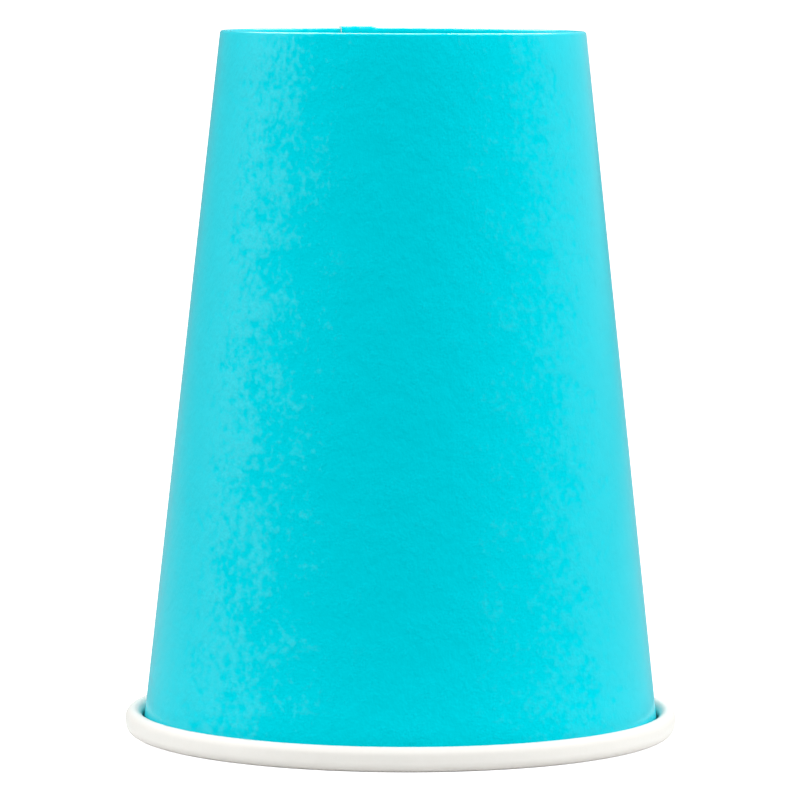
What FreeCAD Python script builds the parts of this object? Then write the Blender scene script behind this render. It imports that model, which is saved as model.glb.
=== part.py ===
"""A single-wall paper cup standing upside down on its rolled rim.

The real cup is made of two pieces of board:

  side_wall    a fan-shaped blank, printed on one face and white on the other. It is wrapped into a
               cone and its edges lap at one seam. The wide end is curled outwards into the rolled
               rim, so the white face shows there. The narrow end is folded in and up around the
               skirt of the bottom, so the printed face shows inside the recess.
  bottom_disc  a round blank pressed into a shallow pan. Its skirt is held in that fold.

Frame: millimetres, +Z up. The origin is the centre of the circle on which the rolled rim stands.
The narrow end, with its recess, is at the top.
"""

import FreeCAD, Part
import math
import os

V = FreeCAD.Vector

# ---- driving dimensions, in millimetres and degrees ----
RIM_DIAMETER = 90.0  # over the rolled rim, which is what a lid grips
HEIGHT = 114.5  # from the foot of the rolled rim to the fold at the narrow end
BASE_DIAMETER = 59.3  # over the wall, carried straight on to the narrow end
WALL_BOARD = 0.35  # thickness of the side wall's board
BOTTOM_BOARD = 0.28  # thickness of the bottom's board

ROLL_WIDTH = 3.35  # of the rolled rim, measured across
ROLL_HEIGHT = 4.0  # of the rolled rim, measured upright
TAIL_CLEARANCE = 0.07  # between the roll's tucked-in tail and the two layers of wall at the seam
TAIL_TIP_GAP = 0.3  # from the tail's edge to the board around the foot of the roll

SEAM_BEARING = 100.8  # of the inner lap's edge, in degrees from +X towards +Y
SEAM_LAP = 5.3  # how far the outer lap reaches over the inner one
SEAM_STEP = 1.6  # how far the board takes, around the narrow end, to climb on to the inner lap
SEAM_CUTS = 5  # sections that shape this climb

RECESS_DEPTH = 7.6  # from the narrow end to the bottom's outer face
CORNER_RADIUS = 0.6  # inside the bend between the bottom and its skirt
SEAL_GAP = 0.02  # film of sealed coating on each side of the skirt
SKIRT_TIP_GAP = 0.4  # from the skirt's edge to the root of the fold
FLAP_TIP_GAP = 0.15  # from the folded flap's edge to the bend of the bottom

# ---- lines and radii that follow from them ----
RIM_RADIUS = RIM_DIAMETER / 2
BASE_RADIUS = BASE_DIAMETER / 2
LOWER_ROLL = ROLL_WIDTH / 2  # radius of the white face around the foot of the roll
FOLD_RADIUS = BOTTOM_BOARD / 2 + SEAL_GAP  # of the white face, around the skirt's edge
TAIL_OFFSET = 2 * WALL_BOARD + TAIL_CLEARANCE  # from the wall's white face to the tail's

QUARTER_TURN = math.pi / 2
HALF_TURN = math.pi
FULL_TURN = 2 * math.pi


def wall_lean():
    """Angle between the wall and the vertical, so that the wall runs smoothly into the roll."""
    across = RIM_RADIUS - LOWER_ROLL - BASE_RADIUS
    down = HEIGHT - LOWER_ROLL
    reach = math.hypot(across, down)
    return math.atan2(across, down) - math.asin((LOWER_ROLL - WALL_BOARD) / reach)


LEAN = wall_lean()
DOWN_WALL = (math.sin(LEAN), -math.cos(LEAN))  # along the wall towards the rim, as (radius, height)
OFF_WALL = (math.cos(LEAN), math.sin(LEAN))  # square to the wall, towards the printed side


def shifted(point, direction, distance):
    return (point[0] + direction[0] * distance, point[1] + direction[1] * distance)


def turned(direction, angle):
    """The direction turned to the left by an angle in radians."""
    cos, sin = math.cos(angle), math.sin(angle)
    return (direction[0] * cos - direction[1] * sin, direction[0] * sin + direction[1] * cos)


# The wall's white face runs from wall_top, at the fold, to wall_foot, at the roll.
roll_centre = (RIM_RADIUS - LOWER_ROLL, LOWER_ROLL)
wall_foot = shifted(roll_centre, OFF_WALL, -LOWER_ROLL)
fold_centre_height = HEIGHT - FOLD_RADIUS - WALL_BOARD
wall_top_height = fold_centre_height + FOLD_RADIUS * OFF_WALL[1]
WALL_LENGTH = (wall_top_height - wall_foot[1]) / math.cos(LEAN)
wall_top = shifted(wall_foot, DOWN_WALL, -WALL_LENGTH)


def upper_roll_radius():
    """Radius of the white face over the top of the roll, so that the tail lies beside the wall."""
    across = RIM_RADIUS - wall_foot[0]
    up = ROLL_HEIGHT - wall_foot[1]
    room = across * OFF_WALL[0] + up * OFF_WALL[1] - TAIL_OFFSET
    return room / (1 + OFF_WALL[0] + OFF_WALL[1])


UPPER_ROLL = upper_roll_radius()
ROLL_SIDE = ROLL_HEIGHT - LOWER_ROLL - UPPER_ROLL  # upright stretch between the two bends


def tail_length():
    """The tail runs on beside the wall until the board around the foot of the roll stops it."""
    room_inside = LOWER_ROLL - 2 * WALL_BOARD
    tail_from_centre = LOWER_ROLL - TAIL_OFFSET
    below_centre = math.sqrt(room_inside**2 - tail_from_centre**2)
    above_centre = ROLL_SIDE * OFF_WALL[0] - (LOWER_ROLL - UPPER_ROLL) * OFF_WALL[1]
    return above_centre + below_centre - TAIL_TIP_GAP


TAIL_LENGTH = tail_length()

# The bottom's inner face ends this high, and its skirt starts to bend a little above that.
panel_height = HEIGHT - RECESS_DEPTH - BOTTOM_BOARD
OUTER_CORNER = CORNER_RADIUS + BOTTOM_BOARD
skirt_foot_height = panel_height + OUTER_CORNER * (1 + OFF_WALL[1])
skirt_tip = shifted(shifted(wall_top, DOWN_WALL, SKIRT_TIP_GAP), OFF_WALL, -SEAL_GAP)
SKIRT_LENGTH = (skirt_tip[1] - skirt_foot_height) / math.cos(LEAN)

# The flap's white face lies on the skirt's inner face and stops short of the bend.
flap_top = shifted(wall_top, OFF_WALL, -2 * FOLD_RADIUS)
bend_height = panel_height + BOTTOM_BOARD + CORNER_RADIUS * (1 + OFF_WALL[1])
FLAP_LENGTH = (flap_top[1] - bend_height - FLAP_TIP_GAP) / math.cos(LEAN)
flap_edge = shifted(flap_top, DOWN_WALL, FLAP_LENGTH)


def run(length):
    """A straight stretch of board."""
    return (length, 0.0)


def bend(radius, angle):
    """A bend of the board's traced face, to the left where the angle is positive."""
    return (radius, angle)


# The white face of the side wall, from the flap's edge to the end that is tucked into the roll.
SIDE_WALL_START = (flap_edge, (-DOWN_WALL[0], -DOWN_WALL[1]))
SIDE_WALL_PATH = [
    run(FLAP_LENGTH),
    bend(FOLD_RADIUS, -HALF_TURN),
    run(WALL_LENGTH),
    bend(LOWER_ROLL, HALF_TURN - LEAN),
    run(ROLL_SIDE),
    bend(UPPER_ROLL, HALF_TURN + LEAN),
    run(TAIL_LENGTH),
]

# The coated face of the bottom, from the skirt's edge to the middle of the disc.
BOTTOM_START = (skirt_tip, DOWN_WALL)
BOTTOM_BENDS = [
    run(SKIRT_LENGTH),
    bend(OUTER_CORNER, -QUARTER_TURN - LEAN),
]


def on_section(point):
    return V(point[0], 0, point[1])


def traced(start, path, offset):
    """The edges beside a path at this offset to its left, with their first and last points."""
    point, heading = start
    point = shifted(point, turned(heading, QUARTER_TURN), offset)
    first = point
    edges = []
    for size, angle in path:
        if angle == 0.0:
            end = shifted(point, heading, size)
            edges.append(Part.LineSegment(on_section(point), on_section(end)).toShape())
        else:
            side = math.copysign(1, angle)
            radius = size - side * offset
            centre = shifted(point, turned(heading, side * QUARTER_TURN), radius)
            out = turned(heading, -side * QUARTER_TURN)
            middle = shifted(centre, turned(out, angle / 2), radius)
            end = shifted(centre, turned(out, angle), radius)
            arc = Part.Arc(on_section(point), on_section(middle), on_section(end))
            edges.append(arc.toShape())
            heading = turned(heading, angle)
        point = end
    return edges, first, point


def board_wire(start, path, near, far):
    """Outline of board cut across, between two offsets from the traced face."""
    near_edges, near_first, near_last = traced(start, path, near)
    far_edges, far_first, far_last = traced(start, path, far)
    free_edge = Part.LineSegment(on_section(near_last), on_section(far_last)).toShape()
    first_edge = Part.LineSegment(on_section(far_first), on_section(near_first)).toShape()
    return Part.Wire(near_edges + [free_edge] + far_edges[::-1] + [first_edge])


def wall_section(near, far):
    return board_wire(SIDE_WALL_START, SIDE_WALL_PATH, near, far)


def spun(wire, angle):
    """A section spun around the cup's axis by an angle in radians, from +X towards +Y."""
    return Part.Face(wire).revolve(V(), V(0, 0, 1), math.degrees(angle))


# ---- the side wall, with the inner lap's edge at +X until it is turned to its bearing ----
STEP_ANGLE = SEAM_STEP / BASE_RADIUS


def lap_zone():
    """Space over the lap: a slab of the lap's width that begins at the inner lap's edge."""
    return Part.makeBox(RIM_DIAMETER, SEAM_LAP, 2 * HEIGHT, V(0, 0, -HEIGHT / 2))


def climb():
    """The stretch of board that climbs by its own thickness on to the inner lap."""
    sections = []
    for cut in range(SEAM_CUTS):
        share = cut / (SEAM_CUTS - 1)
        rise = WALL_BOARD * share**2 * (3 - 2 * share)
        wire = wall_section(rise, rise + WALL_BOARD)
        wire.rotate(V(), V(0, 0, 1), -math.degrees(STEP_ANGLE) * (1 - share))
        sections.append(wire)
    return Part.makeLoft(sections, True, False)


def side_wall():
    """One turn of board, its climb, and the double layer where it laps over its own start."""
    zone = lap_zone()
    one_layer = spun(wall_section(0, WALL_BOARD), FULL_TURN - STEP_ANGLE).cut(zone)
    two_layers = spun(wall_section(0, 2 * WALL_BOARD), QUARTER_TURN).common(zone)
    wall = one_layer.fuse([two_layers, climb()])
    wall.rotate(V(), V(0, 0, 1), SEAM_BEARING)
    return wall


# ---- the bottom ----
def bottom_disc():
    """The pan: a flat panel, a rounded corner and the skirt that the fold holds."""
    corner_end = traced(BOTTOM_START, BOTTOM_BENDS, 0)[2]
    path = BOTTOM_BENDS + [run(corner_end[0])]
    return spun(board_wire(BOTTOM_START, path, 0, -BOTTOM_BOARD), FULL_TURN)


os.makedirs("parts", exist_ok=True)
for name, shape in (("side_wall", side_wall()), ("bottom_disc", bottom_disc())):
    print(name, "solids", len(shape.Solids), "valid", shape.isValid(), "volume", round(shape.Volume, 1))
    shape.exportStep(f"parts/{name}.step")
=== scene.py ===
# %% [markdown]
# # A paper cup for hot drinks, standing upside down
#
# The cup is made of two pieces of board. A fan-shaped blank is wrapped into a cone, lapped at one
# seam, curled outwards at the wide end and folded in at the narrow end. A small pan, the bottom, is
# held by that fold. We load the CAD model first, and dress it piece by piece around the same
# numbers, so that nothing has to be fitted by eye.

# %% Load the frame
import math

import bmesh
import bpy
from mathutils import Matrix, Vector


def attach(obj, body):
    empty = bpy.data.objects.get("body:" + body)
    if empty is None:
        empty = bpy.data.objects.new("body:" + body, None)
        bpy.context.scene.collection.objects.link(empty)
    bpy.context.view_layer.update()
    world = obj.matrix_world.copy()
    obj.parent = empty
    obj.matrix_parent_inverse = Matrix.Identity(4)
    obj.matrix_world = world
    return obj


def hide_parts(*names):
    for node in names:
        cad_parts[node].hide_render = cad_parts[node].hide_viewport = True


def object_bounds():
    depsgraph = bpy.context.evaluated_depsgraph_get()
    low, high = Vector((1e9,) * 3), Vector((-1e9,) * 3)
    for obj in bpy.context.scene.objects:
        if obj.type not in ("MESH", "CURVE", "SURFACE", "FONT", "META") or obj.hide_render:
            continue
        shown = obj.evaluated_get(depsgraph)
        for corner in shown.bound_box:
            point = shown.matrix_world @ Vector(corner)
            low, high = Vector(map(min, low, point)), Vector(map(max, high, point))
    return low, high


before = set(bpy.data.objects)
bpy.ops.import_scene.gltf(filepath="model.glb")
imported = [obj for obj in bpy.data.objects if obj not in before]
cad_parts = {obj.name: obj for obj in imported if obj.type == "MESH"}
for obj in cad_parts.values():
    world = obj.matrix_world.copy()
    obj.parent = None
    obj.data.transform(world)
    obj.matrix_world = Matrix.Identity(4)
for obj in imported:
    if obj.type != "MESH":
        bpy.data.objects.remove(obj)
cad_low, cad_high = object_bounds()
print("CAD box in mm:", [round(1000 * side, 2) for side in cad_high - cad_low])

# %% [markdown]
# ## The camera
#
# A small product is best shown from far away through a long lens, so that it has hardly any
# perspective. The camera stands a little above the cup's top and looks down at it by 5 degrees.
# An aim point is easier to reason about than three angles, so we turn the camera towards one.

# %% Place the camera
CAMERA_PLACE = Vector((0.0, -0.8415, 0.1272))
CAMERA_AIM = Vector((-0.00028, 0.0, 0.0544))
CAMERA_ROLL = 0.004  # radians
LENS = 233.1  # millimetres, on a sensor 36 mm wide

lens = bpy.data.cameras.new("camera")
lens.lens = LENS
camera = bpy.data.objects.new("camera", lens)
bpy.context.collection.objects.link(camera)
look = (CAMERA_AIM - CAMERA_PLACE).to_track_quat("-Z", "Y").to_matrix().to_4x4()
camera.matrix_world = Matrix.Translation(CAMERA_PLACE) @ look @ Matrix.Rotation(CAMERA_ROLL, 4, "Z")
bpy.context.scene.camera = camera
bpy.context.scene.view_settings.view_transform = "Standard"
print("camera distance in mm:", round(1000 * (CAMERA_AIM - CAMERA_PLACE).length, 1))

# %% [markdown]
# ## Node trees in a few lines
#
# Geometry, shader and world trees are all made of nodes, values and links. One helper adds a node,
# sets its options, and fills each input with either a number or another node's output. Two more
# make the arithmetic and the groups' sockets short to write.


# %% Helpers for node trees
def pick(sockets, place):
    """The socket at a number, or the one in use under a name."""
    if isinstance(place, int):
        return sockets[place]
    return next(socket for socket in sockets if socket.enabled and socket.name == place)


def feed(tree, socket, value):
    if isinstance(value, bpy.types.NodeSocket):
        tree.links.new(value, socket)
    else:
        socket.default_value = value


def add_node(tree, kind, inputs=None, **options):
    node = tree.nodes.new(kind)
    for name, value in options.items():
        setattr(node, name, value)
    for place, value in (inputs or {}).items():
        feed(tree, pick(node.inputs, place), value)
    return node


def result_of(tree, kind, inputs=None, output=0, **options):
    """The output socket of a new node."""
    return pick(add_node(tree, kind, inputs, **options).outputs, output)


def calculate(tree, operation, *values):
    """One step of arithmetic, as the output socket of a Math node."""
    node = add_node(tree, "ShaderNodeMath", dict(enumerate(values)), operation=operation)
    return node.outputs[0]


def add_sockets(tree, direction, sockets):
    """Named sockets on a group, each given as name: (type, default value)."""
    for name, (kind, default) in sockets.items():
        socket = tree.interface.new_socket(name, in_out=direction, socket_type="NodeSocket" + kind)
        if default is not None:
            socket.default_value = default


def smooth_step(tree, value, start, end):
    """0 up to start, 1 from end on, and a soft change between them."""
    places = {"Value": value, "From Min": start, "From Max": end}
    node = add_node(tree, "ShaderNodeMapRange", places, interpolation_type="SMOOTHSTEP")
    return node.outputs["Result"]


def mixed(tree, share, first, second):
    """One number that goes from the first to the second as the share goes from 0 to 1."""
    values = {"Factor": share, "A": first, "B": second}
    return result_of(tree, "ShaderNodeMix", values, "Result", data_type="FLOAT")


# %% [markdown]
# ## The light
#
# Varnished board is a weak mirror, so what it mirrors matters as much as what lights it. Behind the
# camera the room is dark, which keeps the middle of the cone deep and clean. A window at the left
# is the pale band on that flank, the walls behind are grey, and the ceiling is bright all round but
# dim straight overhead, so that it doesn't bleach the bottom. A world shader can be that room, with
# soft ramps. Softboxes could be mirrored too, but their edges would show as straight lines.
#
# The room has two sets of walls. The ones that are mirrored reach farther round to the front than
# the ones that light the cup, because each dimple in the varnish mirrors a spot a little off to one
# side. Camera rays see plain white instead of the room, so that the backdrop stays clean from every
# side.

# %% Light the room
CEILING = 1.98
ZENITH = 0.3
DARK_SIDE = 0.01
BACKDROP = 1.2
WALL_TOP = (0.35, 0.7)  # the ray's Z, over which the walls turn into the ceiling
ZENITH_STARTS = (0.75, 0.95)  # the ray's Z, over which the ceiling grows dim

world = bpy.data.worlds.new("studio")
bpy.context.scene.world = world
world.use_nodes = True
room = world.node_tree
direction = add_node(room, "ShaderNodeTexCoord").outputs["Generated"]
ray = add_node(room, "ShaderNodeSeparateXYZ", {0: direction}).outputs
ray_kind = add_node(room, "ShaderNodeLightPath").outputs


def side_walls(window, back_left, back_right, window_fades, left_begins, right_begins):
    """Brightness of the walls. The ramps are in the ray's Y: -1 is the camera's side, 1 the back."""
    left = mixed(room, smooth_step(room, ray["Y"], *window_fades), window, back_left)
    left = mixed(room, smooth_step(room, ray["Y"], *left_begins), DARK_SIDE, left)
    right = mixed(room, smooth_step(room, ray["Y"], *right_begins), DARK_SIDE, back_right)
    return mixed(room, calculate(room, "GREATER_THAN", ray["X"], 0.0), left, right)


lighting = side_walls(
    window=1.2,
    back_left=0.36,
    back_right=0.76,
    window_fades=(0.2, 0.6),
    left_begins=(-0.58, -0.15),
    right_begins=(-0.15, 0.35),
)
mirrored = side_walls(
    window=1.15,
    back_left=0.3,
    back_right=0.56,
    window_fades=(-0.1, 0.75),
    left_begins=(-0.85, -0.75),
    right_begins=(-0.85, -0.75),
)
wall = mixed(room, ray_kind["Is Glossy Ray"], lighting, mirrored)
ceiling = mixed(room, smooth_step(room, ray["Z"], *ZENITH_STARTS), CEILING, ZENITH)
light = mixed(room, smooth_step(room, ray["Z"], *WALL_TOP), wall, ceiling)
light = mixed(room, ray_kind["Is Camera Ray"], light, BACKDROP)
background = room.nodes["Background"]
background.inputs["Color"].default_value = (1.0, 1.0, 1.0, 1.0)
room.links.new(light, background.inputs["Strength"])
print("room nodes:", len(room.nodes), "ceiling:", CEILING, "zenith:", ZENITH)

# %% [markdown]
# ## Softboxes
#
# Three softboxes shade the cup: a strong one high at the right, a weaker one at the left, and a fill
# over the camera. Spots could light it too, but a wide lamp gives soft shadows. Mirrored in the
# varnish they would be hard white patches, so their glossy rays are switched off, much as a
# polarising filter does. A fourth does the opposite: it hangs high behind the cup and is only
# mirrored, which draws the bright line along the fold.


# %% Set up the softboxes
def softbox(name, bearing, lift, width, tall, brightness, mirrored=False, distance=1.4):
    """A light that faces the cup. Bearing 0 is the camera's side and 90 the right, in degrees."""
    data = bpy.data.lights.new(name, "AREA")
    data.shape = "RECTANGLE"
    data.size = width
    data.size_y = tall
    data.energy = brightness * math.pi * width * tall
    turn, up = math.radians(bearing), math.radians(lift)
    ray = Vector((math.sin(turn) * math.cos(up), -math.cos(turn) * math.cos(up), math.sin(up)))
    light = bpy.data.objects.new(name, data)
    bpy.context.collection.objects.link(light)
    light.location = distance * ray
    light.rotation_mode = "QUATERNION"
    light.rotation_quaternion = (-ray).to_track_quat("-Z", "Y")
    light.visible_camera = False
    light.visible_glossy = mirrored
    light.visible_diffuse = not mirrored
    print(name, "at", [round(value, 2) for value in light.location])


softbox("key_right", bearing=84, lift=32, width=1.0, tall=0.7, brightness=5.4)
softbox("key_left", bearing=-84, lift=32, width=1.0, tall=0.7, brightness=3.3)
softbox("fill", bearing=0, lift=50, width=1.4, tall=0.9, brightness=1.4)
softbox("strip", bearing=180, lift=60, width=1.6, tall=1.0, brightness=8.0, mirrored=True)

# %% [markdown]
# ## The floor
#
# The cup stands on a plain pale table that hardly takes a shadow: an emission that only camera rays
# meet lets it look brighter than it lights the cup. Its tone is painted light and shade: pale in a
# ring just past the rim, where the cup's shade falls, and greyer farther out. Where the varnish
# mirrors it, it is greyer still, a painted shade that keeps the foot of the flanks deep.

# %% Lay the floor
FLOOR_RADIUS = 30.0
FLOOR_GLOW = 0.9
NEAR_PAINTED_LIGHT_TONE = 0.75
FAR_TONE = 0.35
MIRRORED_TONE = 0.24
NEAR_RADIUS = 0.046  # metres from the cup's axis, just past the rim
FAR_RADIUS = 0.07
GRAIN_SCALE = 40.0
GRAIN_TONE = 0.04
floor_mesh = bpy.data.meshes.new("floor")
shaper = bmesh.new()
bmesh.ops.create_circle(shaper, cap_ends=True, segments=96, radius=FLOOR_RADIUS)
shaper.to_mesh(floor_mesh)
shaper.free()
floor = bpy.data.objects.new("floor", floor_mesh)
bpy.context.collection.objects.link(floor)


def new_material(name):
    material = bpy.data.materials.new(name)
    material.use_nodes = True
    return material, material.node_tree, material.node_tree.nodes["Principled BSDF"]


table_top, tree, surface = new_material("pale_table")
place = add_node(tree, "ShaderNodeTexCoord").outputs["Object"]
noise = {"Vector": place, "Scale": GRAIN_SCALE, "Detail": 3.0}
grain = add_node(tree, "ShaderNodeTexNoise", noise).outputs["Fac"]
distance = result_of(tree, "ShaderNodeVectorMath", {0: place}, "Value", operation="LENGTH")
# Painted light: the floor is paler in a ring just past the rim, and painted shade makes it greyer where
# the varnish mirrors it.
far = smooth_step(tree, distance, NEAR_RADIUS, FAR_RADIUS)
floor_ray = add_node(tree, "ShaderNodeLightPath").outputs
far_tone = mixed(tree, floor_ray["Is Glossy Ray"], FAR_TONE, MIRRORED_TONE)
plain_tone = mixed(tree, far, NEAR_PAINTED_LIGHT_TONE, far_tone)
tone = calculate(tree, "MULTIPLY_ADD", grain, GRAIN_TONE, plain_tone)
tree.links.new(tone, surface.inputs["Base Color"])
surface.inputs["Roughness"].default_value = 0.9
surface.inputs["Specular IOR Level"].default_value = 0.1
surface.inputs["Emission Color"].default_value = (1.0, 1.0, 1.0, 1.0)
glow = calculate(tree, "MULTIPLY", floor_ray["Is Camera Ray"], FLOOR_GLOW)
tree.links.new(glow, surface.inputs["Emission Strength"])
floor_mesh.materials.append(table_top)
print("floor radius in m:", FLOOR_RADIUS)

# %% [markdown]
# ## Sizes of the board
#
# These are the numbers that the CAD model is driven by, now in metres. The rim's radius and the
# height come from the CAD box itself. The board lies double where it laps, so the box is one board
# higher than the fold.

# %% Take the sizes
MM = 0.001
WALL_BOARD = 0.35 * MM
BOTTOM_BOARD = 0.28 * MM
RIM_RADIUS = (cad_high.x - cad_low.x) / 2
FOLD_HEIGHT = cad_high.z - WALL_BOARD
BASE_RADIUS = 59.3 * MM / 2
LOWER_ROLL = 3.35 * MM / 2
ROLL_HEIGHT = 4.0 * MM
TAIL_OFFSET = 2 * WALL_BOARD + 0.07 * MM
TAIL_TIP_GAP = 0.3 * MM
SEAL_GAP = 0.02 * MM
FOLD_RADIUS = BOTTOM_BOARD / 2 + SEAL_GAP
RECESS_DEPTH = 7.6 * MM
CORNER_RADIUS = 0.6 * MM
SKIRT_TIP_GAP = 0.4 * MM
FLAP_TIP_GAP = 0.15 * MM
SEAM_BEARING = math.radians(100.8)
SEAM_LAP = 5.3 * MM
SEAM_STEP = 1.6 * MM
print("rim radius", round(RIM_RADIUS / MM, 3), "fold height", round(FOLD_HEIGHT / MM, 3))

# %% [markdown]
# ## The path of the board
#
# Cut along the cup's axis, the board is one line: up the flap, over the fold, down the wall, around
# the roll and into its tail. A list of straight runs and bends says that with a dozen numbers, as a
# bending plan does for wire. We follow it as (radius, height) and note at every point which way the
# printed face looks, because the board's thickness will be added that way.


# %% Follow a path of runs and bends
def turned(heading, angle):
    """The direction turned to the left by an angle in radians."""
    return Matrix.Rotation(angle, 2) @ heading


def followed(start, heading, path):
    """Points along (size, angle, steps), where a run's angle is 0, each with its left-hand side."""
    points = [start]
    sides = [turned(heading, math.pi / 2)]
    for size, angle, steps in path:
        for step in range(1, steps + 1):
            share = step / steps
            if angle == 0:
                points.append(start + heading * size * share)
            else:
                towards = turned(heading, math.copysign(math.pi / 2, angle))
                points.append(start + size * (towards - turned(towards, angle * share)))
            sides.append(turned(heading, math.pi / 2 + angle * share))
        start = points[-1]
        heading = turned(heading, angle)
    return points, sides


across = RIM_RADIUS - LOWER_ROLL - BASE_RADIUS
down = FOLD_HEIGHT - LOWER_ROLL
LEAN = math.atan2(across, down) - math.asin((LOWER_ROLL - WALL_BOARD) / math.hypot(across, down))
DOWN_WALL = Vector((math.sin(LEAN), -math.cos(LEAN)))
OFF_WALL = Vector((math.cos(LEAN), math.sin(LEAN)))
print("wall lean in degrees:", round(math.degrees(LEAN), 3))

# %% Write the bending plan of the side wall
roll_centre = Vector((RIM_RADIUS - LOWER_ROLL, LOWER_ROLL))
wall_foot = roll_centre - LOWER_ROLL * OFF_WALL
wall_top_height = FOLD_HEIGHT - FOLD_RADIUS - WALL_BOARD + FOLD_RADIUS * OFF_WALL.y
WALL_LENGTH = (wall_top_height - wall_foot.y) / math.cos(LEAN)
wall_top = wall_foot - WALL_LENGTH * DOWN_WALL

room_over_roll = Vector((RIM_RADIUS, ROLL_HEIGHT)) - wall_foot
UPPER_ROLL = (room_over_roll.dot(OFF_WALL) - TAIL_OFFSET) / (1 + OFF_WALL.x + OFF_WALL.y)
ROLL_SIDE = ROLL_HEIGHT - LOWER_ROLL - UPPER_ROLL
below_centre = math.sqrt((LOWER_ROLL - 2 * WALL_BOARD) ** 2 - (LOWER_ROLL - TAIL_OFFSET) ** 2)
above_centre = ROLL_SIDE * OFF_WALL.x - (LOWER_ROLL - UPPER_ROLL) * OFF_WALL.y
TAIL_LENGTH = above_centre + below_centre - TAIL_TIP_GAP

flap_top = wall_top - 2 * FOLD_RADIUS * OFF_WALL
pan_height = FOLD_HEIGHT - RECESS_DEPTH - BOTTOM_BOARD
bend_height = pan_height + BOTTOM_BOARD + CORNER_RADIUS * (1 + OFF_WALL.y)
FLAP_LENGTH = (flap_top.y - bend_height - FLAP_TIP_GAP) / math.cos(LEAN)
wall_plan = [
    (FLAP_LENGTH, 0, 10),
    (FOLD_RADIUS, -math.pi, 10),
    (WALL_LENGTH, 0, 22),
    (LOWER_ROLL, math.pi - LEAN, 16),
    (ROLL_SIDE, 0, 1),
    (UPPER_ROLL, math.pi + LEAN, 14),
    (TAIL_LENGTH, 0, 1),
]
flap_edge = flap_top + FLAP_LENGTH * DOWN_WALL
rows, printed_sides = followed(flap_edge, -DOWN_WALL, wall_plan)
print("side wall:", len(rows), "rows, wall length in mm:", round(WALL_LENGTH / MM, 2))


# %% Keep the path as a mesh with its own attributes
def path_object(name, points, sides):
    """A line of points in the X-Z plane that remembers its left-hand side and its length."""
    mesh = bpy.data.meshes.new(name)
    places = [(point.x, 0.0, point.y) for point in points]
    mesh.from_pydata(places, [(i, i + 1) for i in range(len(points) - 1)], [])
    side_vectors = mesh.attributes.new("printed_side", "FLOAT_VECTOR", "POINT")
    side_vectors.data.foreach_set("vector", [c for side in sides for c in (side.x, 0.0, side.y)])
    along = mesh.attributes.new("along", "FLOAT", "POINT")
    reached = 0.0
    for i, point in enumerate(points):
        reached += (point - points[max(i - 1, 0)]).length
        along.data[i].value = reached
    made = bpy.data.objects.new(name, mesh)
    bpy.context.collection.objects.link(made)
    return made, reached


side_wall, blank_length = path_object("SideWall", rows, printed_sides)
print("length of the blank along the path in mm:", round(blank_length / MM, 2))

# %% [markdown]
# ## Fibres and flecks
#
# Board is pressed from fibres that lie mostly one way, and the coating follows them, so the surface
# is never quite flat: glancing light breaks up on it into patches and short flecks. Print, coating
# and bare board all show it, each in its own strength, so it is one shader group with named inputs
# instead of a copy in each material. It reads a map that is laid out in metres on the flat blank,
# so the flecks bend with the board. It puts out a height for bumps and a mottle for patches.

# %% Make the fibre group
MOTTLE_SHARE = 0.5  # of fine noise in the mottle, the rest being broad

fibres = bpy.data.node_groups.new("board_fibres", "ShaderNodeTree")
add_sockets(
    fibres,
    "INPUT",
    {
        "Place": ("Vector", None),
        "Fleck Size": ("Float", 0.0004),
        "Stretch": ("Float", 2.5),
        "Wave Size": ("Float", 0.004),
        "Fleck Share": ("Float", 0.5),
    },
)
outputs = {name: ("Float", None) for name in ("Height", "Mottle")}
add_sockets(fibres, "OUTPUT", outputs)
given = fibres.nodes.new("NodeGroupInput").outputs
along_grain = calculate(fibres, "DIVIDE", 1.0, given["Stretch"])
grain_scale = result_of(fibres, "ShaderNodeCombineXYZ", {0: 1.0, 1: along_grain, 2: along_grain})
stretched = result_of(
    fibres, "ShaderNodeVectorMath", {0: given["Place"], 1: grain_scale}, operation="MULTIPLY"
)


def board_noise(size, detail):
    scale = calculate(fibres, "DIVIDE", 1.0, size)
    places = {"Vector": stretched, "Scale": scale, "Detail": detail, "Roughness": 0.6}
    return result_of(fibres, "ShaderNodeTexNoise", places, "Fac")


fine = board_noise(given["Fleck Size"], 1.0)
broad = board_noise(given["Wave Size"], 4.0)
result = fibres.nodes.new("NodeGroupOutput").inputs
fibres.links.new(mixed(fibres, given["Fleck Share"], broad, fine), result["Height"])
fibres.links.new(mixed(fibres, MOTTLE_SHARE, broad, fine), result["Mottle"])
print("group:", fibres.name, [item.name for item in fibres.interface.items_tree])


# %% Put the group into a material
def board_fibres(tree, place, **values):
    group = add_node(tree, "ShaderNodeGroup", {"Place": place}, node_tree=fibres)
    for name, value in values.items():
        group.inputs[name.replace("_", " ")].default_value = value
    return group.outputs


def bump(tree, surface, height, strength, distance):
    node = add_node(
        tree, "ShaderNodeBump", {"Height": height, "Strength": strength, "Distance": distance}
    )
    tree.links.new(node.outputs["Normal"], surface.inputs["Normal"])


def blank_map(tree):
    return add_node(tree, "ShaderNodeUVMap", uv_map="blank_map").outputs["UV"]


# %% [markdown]
# ## The printed face
#
# One turquoise ink covers the whole wall. It is matt, and all its gloss is the thin varnish over
# it, so the ink keeps its depth wherever the room is dark. The varnish is dimpled: on the flanks,
# which are seen at a glance, it mirrors the walls evenly, but the more squarely it is seen, the
# fewer dimples tilt far enough to catch them, so the gloss breaks up into patches and then into
# single flecks. Paler ink could paint those, but they would show in any light, and a strong bump
# would shade the ink as well. So the coat's weight is the mottle above a limit, and Layer Weight,
# which knows how squarely a point is seen, moves that limit.

# %% Print the board
INK = (0.0, 0.565, 0.665, 1.0)
INK_THIN = (0.0, 0.59, 0.69, 1.0)
VARNISH = 0.8  # weight of the coat where it shines
SQUARE_LIMIT = 0.668  # how high the mottle has to be where the wall is seen squarely
LIMIT_FALL = -0.6  # how much less is needed where it is seen edge-on
GLINT_BLUR = 0.11
PRINT_RELIEF = 0.0004  # metres

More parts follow.
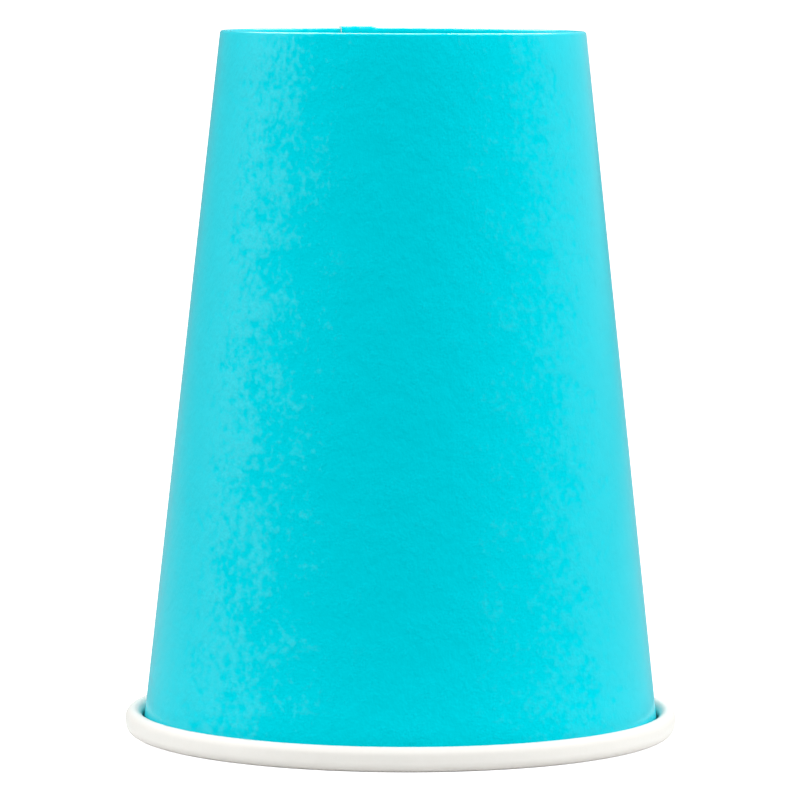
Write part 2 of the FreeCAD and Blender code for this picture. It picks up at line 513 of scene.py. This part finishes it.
printed, tree, surface = new_material("turquoise_print")
board = board_fibres(
    tree, blank_map(tree), Fleck_Size=0.001, Stretch=1.4, Wave_Size=0.0048, Fleck_Share=0.08
)
mix = {"Factor": board["Height"], "A": INK, "B": INK_THIN}
ink = result_of(tree, "ShaderNodeMix", mix, "Result", data_type="RGBA")
tree.links.new(ink, surface.inputs["Base Color"])
surface.inputs["Roughness"].default_value = 0.5
surface.inputs["Specular IOR Level"].default_value = 0.0
edge_on = add_node(tree, "ShaderNodeLayerWeight", {"Blend": 0.5}).outputs["Facing"]
limit_start = calculate(tree, "MULTIPLY_ADD", edge_on, LIMIT_FALL, SQUARE_LIMIT - GLINT_BLUR)
limit_end = calculate(tree, "MULTIPLY_ADD", edge_on, LIMIT_FALL, SQUARE_LIMIT + GLINT_BLUR)
glints = smooth_step(tree, board["Mottle"], limit_start, limit_end)
tree.links.new(calculate(tree, "MULTIPLY", glints, VARNISH), surface.inputs["Coat Weight"])
surface.inputs["Coat Roughness"].default_value = 0.18
bump(tree, surface, board["Height"], 1.0, PRINT_RELIEF)
print("material:", printed.name)

# %% [markdown]
# ## The white faces
#
# The other face of the wall has a thin clear coat of plastic that keeps the drink in. It is what
# shows on the rolled rim, and the bottom has it on the drink's side. Where the board was cut, or was
# never coated, its fibres show, a little warmer and rougher. One recipe makes all four, because they
# differ only in their numbers.

# %% Coat and cut the board
COAT_WHITES = ((0.71, 0.685, 0.645, 1.0), (0.75, 0.725, 0.69, 1.0))
CUT_WHITES = ((0.66, 0.63, 0.56, 1.0), (0.80, 0.78, 0.72, 1.0))
BARE_WHITES = ((0.60, 0.585, 0.55, 1.0), (0.66, 0.65, 0.62, 1.0))
WHITE_BUMP = 0.3  # strength of the relief on every white face


def white_board(name, place, colours, roughness, specular, height, sizes):
    """Bare or coated board: two close whites, mixed and raised by the fibres."""
    material, tree, surface = new_material(name)
    board = board_fibres(tree, place(tree), **sizes)
    mix = {"Factor": board["Height"], "A": colours[0], "B": colours[1]}
    colour = result_of(tree, "ShaderNodeMix", mix, "Result", data_type="RGBA")
    tree.links.new(colour, surface.inputs["Base Color"])
    surface.inputs["Roughness"].default_value = roughness
    surface.inputs["Specular IOR Level"].default_value = specular
    bump(tree, surface, board["Height"], WHITE_BUMP, height)
    return material


def object_place(tree):
    return add_node(tree, "ShaderNodeTexCoord").outputs["Object"]


coat_sizes = dict(Fleck_Size=0.0006, Stretch=2.0, Wave_Size=0.004, Fleck_Share=0.5)
cut_sizes = dict(Fleck_Size=0.00015, Stretch=3.0, Wave_Size=0.0008, Fleck_Share=0.6)
bare_sizes = dict(Fleck_Size=0.0005, Stretch=1.4, Wave_Size=0.005, Fleck_Share=0.5)
coated = white_board("coated_board", blank_map, COAT_WHITES, 0.4, 0.4, 0.00004, coat_sizes)
coated_pan = white_board("coated_pan_board", object_place, COAT_WHITES, 0.4, 0.4, 0.00004, coat_sizes)
cut_edge = white_board("cut_board", object_place, CUT_WHITES, 0.9, 0.2, 0.00003, cut_sizes)
bare = white_board("bare_board", object_place, BARE_WHITES, 0.8, 0.2, 0.00004, bare_sizes)
print("materials:", [material.name for material in (coated, coated_pan, cut_edge, bare)])

# %% [markdown]
# ## Wrapping the blank
#
# The side wall follows one rule all the way round: every point of the path is turned about the
# axis, and past a full turn the board climbs on to its own start and lies there as the lap. It
# could be spun or lofted, but then the lap would be a second mesh to fit by hand. Geometry Nodes
# take a flat grid, with a column for each place around and a row for each point of the path, and
# bend it into the cup, as the machine does with the blank.

# %% List the blank's inputs
wrap = bpy.data.node_groups.new("wrap_blank", "GeometryNodeTree")
wrap.is_modifier = True
add_sockets(
    wrap,
    "INPUT",
    {
        "Path": ("Geometry", None),
        "Columns": ("Int", 400),
        "Board": ("Float", 0.00035),
        "Glue Gap": ("Float", 0.00001),
        "Seam Bearing": ("Float", 0.0),
        "Lap": ("Float", 0.005),
        "Step": ("Float", 0.0016),
        "Foot Radius": ("Float", 0.03),
        "Knurls": ("Int", 120),
        "Knurl Depth": ("Float", 0.00006),
        "Knurl Start": ("Float", 0.001),
        "Knurl End": ("Float", 0.005),
        "Knurl Fade": ("Float", 0.0006),
        "Coated Face": ("Material", None),
        "Printed Face": ("Material", None),
        "Cut Edge": ("Material", None),
    },
)
add_sockets(wrap, "OUTPUT", {"Board": ("Geometry", None)})
given = wrap.nodes.new("NodeGroupInput").outputs
print("inputs of the blank:", len(given) - 1)

# %% Lay the blank flat and number its rows
row_count = result_of(
    wrap, "GeometryNodeAttributeDomainSize", {0: given["Path"]}, "Point Count", component="MESH"
)
flat_blank = result_of(
    wrap, "GeometryNodeMeshGrid", {"Vertices X": given["Columns"], "Vertices Y": row_count}, "Mesh"
)
number = add_node(wrap, "GeometryNodeInputIndex").outputs[0]
column = result_of(wrap, "FunctionNodeIntegerMath", {0: number, 1: row_count}, operation="DIVIDE_FLOOR")
row = result_of(wrap, "FunctionNodeIntegerMath", {0: number, 1: row_count}, operation="MODULO")
share = calculate(wrap, "DIVIDE", column, calculate(wrap, "SUBTRACT", given["Columns"], 1))


# %% Read the path at each row
def at_row(value, kind):
    return result_of(
        wrap,
        "GeometryNodeSampleIndex",
        {"Geometry": given["Path"], "Value": value, "Index": row},
        data_type=kind,
        domain="POINT",
    )


def path_value(name, kind):
    return result_of(wrap, "GeometryNodeInputNamedAttribute", {"Name": name}, data_type=kind)


path_place = at_row(add_node(wrap, "GeometryNodeInputPosition").outputs[0], "FLOAT_VECTOR")
path_side = at_row(path_value("printed_side", "FLOAT_VECTOR"), "FLOAT_VECTOR")
path_along = at_row(path_value("along", "FLOAT"), "FLOAT")

# %% Turn each column to its place around the cup
radius = add_node(wrap, "ShaderNodeSeparateXYZ", {0: path_place}).outputs["X"]
lap_angle = calculate(wrap, "ARCSINE", calculate(wrap, "DIVIDE", given["Lap"], radius))
full_sweep = calculate(wrap, "ADD", lap_angle, 2 * math.pi)
turn = calculate(wrap, "MULTIPLY", share, full_sweep)
step_angle = calculate(wrap, "DIVIDE", given["Step"], given["Foot Radius"])
step_start = calculate(wrap, "SUBTRACT", 2 * math.pi, step_angle)
climbed = smooth_step(wrap, turn, step_start, 2 * math.pi)
rise = calculate(wrap, "MULTIPLY", climbed, calculate(wrap, "ADD", given["Board"], given["Glue Gap"]))
raised = result_of(
    wrap, "ShaderNodeVectorMath", {0: path_side, "Scale": rise}, operation="SCALE"
)
lifted_place = result_of(wrap, "ShaderNodeVectorMath", {0: path_place, 1: raised}, operation="ADD")
bearing = calculate(wrap, "ADD", turn, given["Seam Bearing"])


def turned_about_axis(vector):
    return result_of(
        wrap, "ShaderNodeVectorRotate", {"Vector": vector, "Angle": bearing}, rotation_type="Z_AXIS"
    )


# %% Bend the flat blank into the cup
blank_place = result_of(
    wrap,
    "ShaderNodeCombineXYZ",
    {"X": calculate(wrap, "MULTIPLY", turn, given["Foot Radius"]), "Y": path_along},
)
notes = add_node(wrap, "GeometryNodeCaptureAttribute", domain="POINT")
for name, kind, value in (
    ("Turn", "FLOAT", turn),
    ("Along", "FLOAT", path_along),
    ("Outward", "VECTOR", turned_about_axis(path_side)),
    ("Place", "VECTOR", blank_place),
):
    notes.capture_items.new(kind, name)
    feed(wrap, notes.inputs[name], value)
feed(wrap, notes.inputs["Geometry"], flat_blank)
bent = result_of(
    wrap,
    "GeometryNodeSetPosition",
    {"Geometry": notes.outputs["Geometry"], "Position": turned_about_axis(lifted_place)},
)
coated_face = result_of(
    wrap,
    "GeometryNodeStoreNamedAttribute",
    {"Geometry": bent, "Name": "blank_map", "Value": notes.outputs["Place"]},
    data_type="FLOAT2",
    domain="CORNER",
)

# %% [markdown]
# ## Thickness, and the knurled foot
#
# The printed face is the coated face pushed out by the board's thickness, and the strip between
# them is the cut edge. A knurled wheel presses the flap on to the bottom's skirt, which leaves a
# ring of small grooves: there the board is a little thinner.

# %% Give the board its thickness
fade = given["Knurl Fade"]
pressed_from = smooth_step(
    wrap, notes.outputs["Along"], given["Knurl Start"], calculate(wrap, "ADD", given["Knurl Start"], fade)
)
pressed_to = smooth_step(
    wrap, notes.outputs["Along"], calculate(wrap, "SUBTRACT", given["Knurl End"], fade), given["Knurl End"]
)
wave = calculate(wrap, "COSINE", calculate(wrap, "MULTIPLY", notes.outputs["Turn"], given["Knurls"]))
groove = calculate(wrap, "MULTIPLY_ADD", wave, -0.5, 0.5)
band = calculate(wrap, "SUBTRACT", pressed_from, pressed_to)
press = calculate(wrap, "MULTIPLY", calculate(wrap, "MULTIPLY", groove, band), given["Knurl Depth"])
thickness = calculate(wrap, "SUBTRACT", given["Board"], press)

outside = result_of(wrap, "GeometryNodeFlipFaces", {0: coated_face})
extruded = add_node(
    wrap,
    "GeometryNodeExtrudeMesh",
    {"Mesh": outside, "Offset Scale": 0.0, "Individual": False},
    mode="FACES",
)
push = result_of(
    wrap, "ShaderNodeVectorMath", {0: notes.outputs["Outward"], "Scale": thickness}, operation="SCALE"
)
printed_face = result_of(
    wrap,
    "GeometryNodeSetPosition",
    {"Geometry": extruded.outputs["Mesh"], "Selection": extruded.outputs["Top"], "Offset": push},
)

# %% Close the board and give it its finishes
WALL_WELD = 1e-6  # metres, within which doubled points are merged

joined = add_node(wrap, "GeometryNodeJoinGeometry")
wrap.links.new(coated_face, joined.inputs[0])
wrap.links.new(printed_face, joined.inputs[0])
closed = result_of(wrap, "GeometryNodeMergeByDistance", {0: joined.outputs[0], "Distance": WALL_WELD})
smooth = result_of(wrap, "GeometryNodeSetShadeSmooth", {"Geometry": closed, "Shade Smooth": True})
crisp = result_of(
    wrap,
    "GeometryNodeSetShadeSmooth",
    {"Geometry": smooth, "Selection": extruded.outputs["Side"], "Shade Smooth": False},
)
finished = result_of(wrap, "GeometryNodeRealizeInstances", {"Geometry": crisp})
for selection, finish in (
    (None, "Coated Face"),
    (extruded.outputs["Top"], "Printed Face"),
    (extruded.outputs["Side"], "Cut Edge"),
):
    places = {"Geometry": finished, "Material": given[finish]}
    if selection:
        places["Selection"] = selection
    finished = result_of(wrap, "GeometryNodeSetMaterial", places)
wrap.links.new(finished, wrap.nodes.new("NodeGroupOutput").inputs[0])
print("nodes in the tree:", len(wrap.nodes))


# %% Run the tree and keep its mesh
def run_tree(piece, tree, values):
    """Runs a tree on a piece and leaves the result as the piece's own plain mesh."""
    modifier = piece.modifiers.new(tree.name, "NODES")
    modifier.node_group = tree
    for item in tree.interface.items_tree:
        if item.in_out == "INPUT" and item.name in values:
            modifier[item.identifier] = values[item.name]
    depsgraph = bpy.context.evaluated_depsgraph_get()
    mesh = bpy.data.meshes.new_from_object(piece.evaluated_get(depsgraph))
    piece.modifiers.remove(modifier)
    piece.data = mesh
    mesh.name = piece.name


def measure(piece):
    """Prints how big a mesh is, and whether it is closed."""
    shell = bmesh.new()
    shell.from_mesh(piece.data)
    open_edges = sum(not edge.is_manifold for edge in shell.edges)
    volume = shell.calc_volume(signed=True) / MM**3
    triangles = sum(len(face.verts) - 2 for face in shell.faces)
    shell.free()
    print(piece.name, "triangles", triangles, "open edges", open_edges, "volume in mm3", round(volume, 1))


COLUMNS = 481  # places around the cup
run_tree(
    side_wall,
    wrap,
    {
        "Columns": COLUMNS,
        "Board": WALL_BOARD,
        "Seam Bearing": SEAM_BEARING,
        "Lap": SEAM_LAP,
        "Step": SEAM_STEP,
        "Foot Radius": BASE_RADIUS,
        "Knurl Start": 0.8 * MM,
        "Knurl End": 5.2 * MM,
        "Coated Face": coated,
        "Printed Face": printed,
        "Cut Edge": cut_edge,
    },
)
measure(side_wall)
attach(side_wall, "root")
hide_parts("side_wall")

# %% [markdown]
# ## The bottom
#
# The bottom is pressed from a round blank into a shallow pan. It is round all the way, so a spin of
# its section is enough. Both faces are in the section, which begins and ends on the axis, so the
# spun shell is closed once its doubled points are merged.

# %% Spin the bottom
PAN_STEPS = 192  # around the axis
PAN_WELD = 1e-7  # metres, within which doubled points are merged
CREASE = math.radians(40)  # edges bent by more than this stay crisp

skirt_tip = wall_top + SKIRT_TIP_GAP * DOWN_WALL - SEAL_GAP * OFF_WALL
OUTER_CORNER = CORNER_RADIUS + BOTTOM_BOARD
SKIRT_LENGTH = (skirt_tip.y - pan_height - OUTER_CORNER * (1 + OFF_WALL.y)) / math.cos(LEAN)
pan_plan = [(SKIRT_LENGTH, 0, 3), (OUTER_CORNER, -math.pi / 2 - LEAN, 8)]
corner_end = followed(skirt_tip, DOWN_WALL, pan_plan)[0][-1]
coated_line, left_sides = followed(skirt_tip, DOWN_WALL, pan_plan + [(corner_end.x, 0, 12)])
bare_line = [point - BOTTOM_BOARD * side for point, side in zip(coated_line, left_sides)]

pan = bmesh.new()
section = [pan.verts.new((max(point.x, 0.0), 0.0, point.y)) for point in coated_line[::-1] + bare_line]
lines = [pan.edges.new(pair) for pair in zip(section, section[1:])]
full_turn = dict(cent=(0, 0, 0), axis=(0, 0, 1), angle=2 * math.pi)
bmesh.ops.spin(pan, geom=section + lines, steps=PAN_STEPS, use_merge=True, **full_turn)
bmesh.ops.remove_doubles(pan, verts=pan.verts, dist=PAN_WELD)
bmesh.ops.recalc_face_normals(pan, faces=pan.faces)
for face in pan.faces:
    face.smooth = True
    outwards = face.normal.dot(face.calc_center_median().to_2d().to_3d().normalized())
    face.material_index = 0 if outwards > face.normal.z else 1
for edge in pan.edges:
    edge.smooth = edge.calc_face_angle(0.0) < CREASE

bottom_mesh = bpy.data.meshes.new("BottomDisc")
pan.to_mesh(bottom_mesh)
pan.free()
bottom_mesh.materials.append(coated_pan)
bottom_mesh.materials.append(bare)
bottom_disc = bpy.data.objects.new("BottomDisc", bottom_mesh)
bpy.context.collection.objects.link(bottom_disc)
measure(bottom_disc)
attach(bottom_disc, "root")
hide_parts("bottom_disc")
